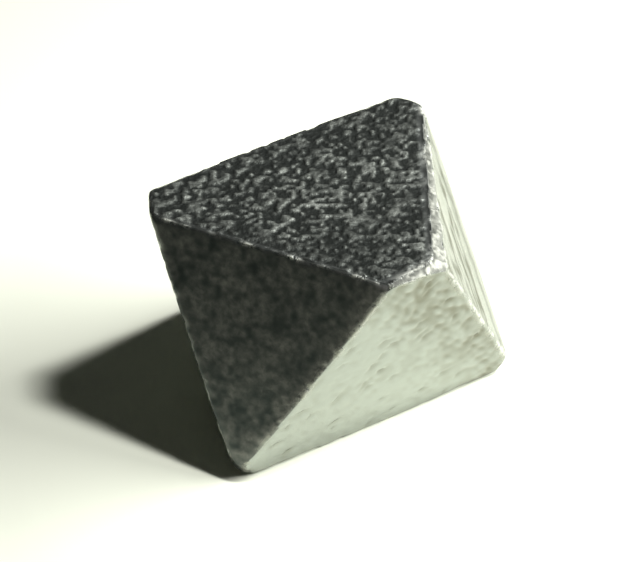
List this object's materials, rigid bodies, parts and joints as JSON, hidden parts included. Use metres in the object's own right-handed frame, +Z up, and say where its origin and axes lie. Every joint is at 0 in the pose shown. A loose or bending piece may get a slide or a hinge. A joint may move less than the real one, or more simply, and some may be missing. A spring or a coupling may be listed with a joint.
{
  "type": "octahedral crystal",
  "caption": "Dark natural octahedral crystal with flat faces, rounded edges, worn tips, a rough top, shallow pits and fine ribs, lying on one face.",
  "frame": {"origin": "middle of the crystal's bounding box at the level of the face it rests on", "axes": "+Z up, out of the upper face, which is parallel to the resting face; +X along the longest side of the box; -Y towards the tip that points at the viewer"},
  "size_m": [0.0092, 0.0084, 0.0062],
  "materials": {
    "crystal": "nearly black mineral with a bright glassy to metallic shine, rough and sparkling on top, smoother on the other faces"
  },
  "bodies": {
    "root": {"crystal": "crystal"}
  },
  "joints": []
}
